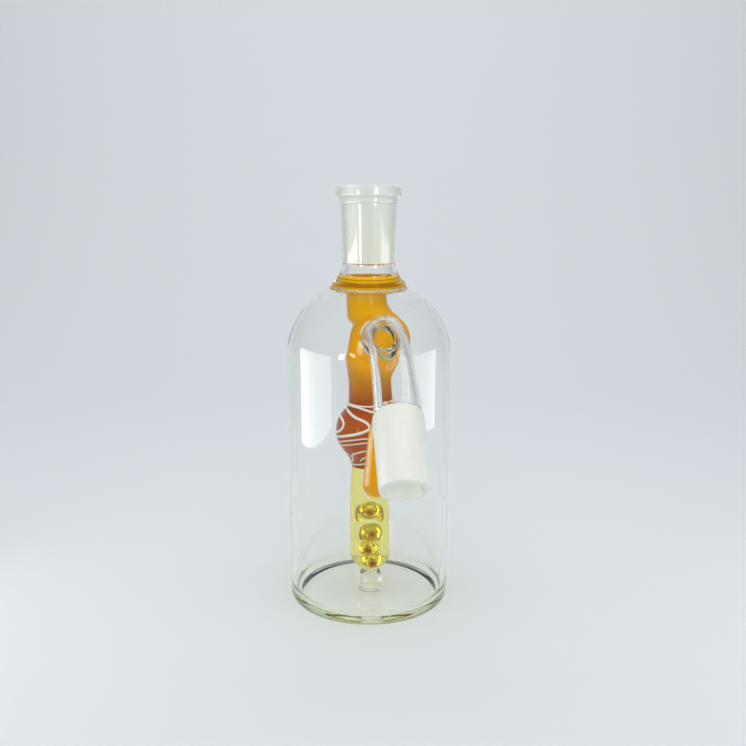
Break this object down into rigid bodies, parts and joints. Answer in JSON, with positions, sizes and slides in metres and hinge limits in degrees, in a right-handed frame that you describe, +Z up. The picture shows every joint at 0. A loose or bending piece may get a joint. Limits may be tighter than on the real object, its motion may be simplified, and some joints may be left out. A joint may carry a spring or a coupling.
{
  "type": "in-line glass water bubbler",
  "caption": "Upright glass water bubbler with a ground socket on top, a bent outlet arm with a ground cone, and a coloured downstem with a drilled diffuser",
  "frame": {"origin": "middle of the flat underside of the base, on the can's axis", "axes": "+Z up the can's axis towards the top socket; -Y is the front, where the outlet arm leaves; +X is to the right seen from the front"},
  "size_m": [0.067, 0.1226, 0.173],
  "materials": {
    "clear_glass": "gloss",
    "frosted_glass": "ground, matt",
    "orange_glass": "gloss, opaque",
    "amber_orange_glass": "gloss, opaque",
    "brown_glass": "gloss, opaque",
    "white_line_glass": "gloss, opaque",
    "yellow_glass": "gloss",
    "amber_rim_glass": "gloss"
  },
  "bodies": {
    "root": {"arm_joint": "frosted_glass", "arm_weld": "clear_glass", "base_disc": "clear_glass", "can_body": "clear_glass", "can_crown": "clear_glass", "can_shoulder": "clear_glass", "diffuser_tube": "yellow_glass", "drip_casing": "clear_glass", "drip_core": "orange_glass", "hole_rim_1": "amber_rim_glass", "hole_rim_2": "amber_rim_glass", "hole_rim_3": "amber_rim_glass", "hole_rim_4": "amber_rim_glass", "hole_rim_5": "amber_rim_glass", "hole_rim_6": "amber_rim_glass", "hole_rim_7": "amber_rim_glass", "hole_rim_8": "amber_rim_glass", "line_bulb": "brown_glass", "line_leaf_1": "white_line_glass", "line_leaf_2": "white_line_glass", "line_leaf_3": "white_line_glass", "line_leaf_4": "white_line_glass", "line_leaf_5": "white_line_glass", "line_leaf_6": "white_line_glass", "line_ring_1": "white_line_glass", "line_ring_2": "white_line_glass", "line_ring_3": "white_line_glass", "line_ring_4": "white_line_glass", "line_ring_5": "white_line_glass", "lower_stem": "amber_orange_glass", "neck_collar": "clear_glass", "neck_tube": "clear_glass", "outlet_arm": "clear_glass", "peg_bead": "clear_glass", "s_bend_stem": "orange_glass", "seal_ring": "orange_glass", "support_peg": "clear_glass", "top_joint": "frosted_glass"}
  },
  "joints": []
}
